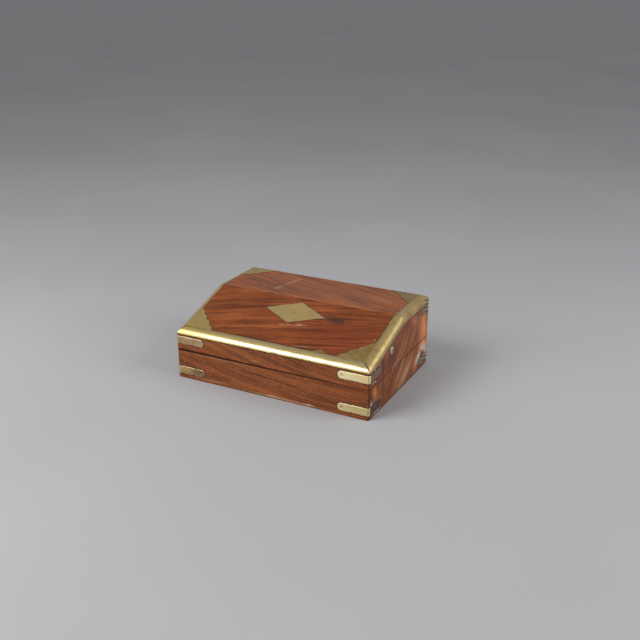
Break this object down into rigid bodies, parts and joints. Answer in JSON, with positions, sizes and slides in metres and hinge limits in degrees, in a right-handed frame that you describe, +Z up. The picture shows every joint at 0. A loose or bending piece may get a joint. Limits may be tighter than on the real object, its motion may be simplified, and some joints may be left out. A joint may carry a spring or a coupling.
{
  "type": "slope-top keepsake box",
  "caption": "Brass-bound wooden box with a slope-top lid on butt hinges, for papers and keepsakes.",
  "frame": {"origin": "middle of the flat underside of the box", "axes": "+X along the front to the right, +Y from the front to the hinges, +Z up"},
  "size_m": [0.3017, 0.2156, 0.1076],
  "materials": {
    "rosewood": "worn oiled hardwood with fine dark grain",
    "plain_board": "plain unpolished board",
    "brass": "aged, brushed by wear",
    "pin_brass": "dull, darkened",
    "hinge_brass": "aged, satin",
    "steel": "dull",
    "felt": "thin wool felt"
  },
  "bodies": {
    "base": {"base_back_board": "rosewood", "base_bottom_board": "plain_board", "base_front_board": "rosewood", "base_left_board": "rosewood", "base_right_board": "rosewood", "base_strap_front_left": "brass", "base_strap_front_right": "brass", "base_strap_pins": "pin_brass", "base_strap_rear_left": "brass", "base_strap_rear_right": "brass", "floor_lining": "felt", "hinge_base_screws": "steel", "hinge_left_base_leaf": "hinge_brass", "hinge_left_pin": "hinge_brass", "hinge_right_base_leaf": "hinge_brass", "hinge_right_pin": "hinge_brass"},
    "lid": {"corner_plate_front_left": "brass", "corner_plate_front_right": "brass", "corner_plate_rear_left": "brass", "corner_plate_rear_right": "brass", "edging_front": "brass", "edging_left_flat": "brass", "edging_left_slope": "brass", "edging_right_flat": "brass", "edging_right_slope": "brass", "hinge_left_lid_leaf": "hinge_brass", "hinge_lid_screws": "steel", "hinge_right_lid_leaf": "hinge_brass", "lid_back_board": "rosewood", "lid_flat_panel": "rosewood", "lid_front_board": "rosewood", "lid_left_board": "rosewood", "lid_right_board": "rosewood", "lid_slope_panel": "rosewood", "lid_strap_front_left": "brass", "lid_strap_front_right": "brass", "lid_strap_pins": "pin_brass", "lid_strap_rear_left": "brass", "lid_strap_rear_right": "brass", "lozenge_inlay": "brass", "plate_pins": "pin_brass", "side_cup_washer": "brass", "side_screw": "steel"}
  },
  "joints": [
    {"name": "lid_hinge", "type": "hinge", "parent": "base", "child": "lid", "pos_m": [0, 0.1077, 0.0435], "axis": [-1, 0, 0], "range_deg": [0, 130]}
  ]
}
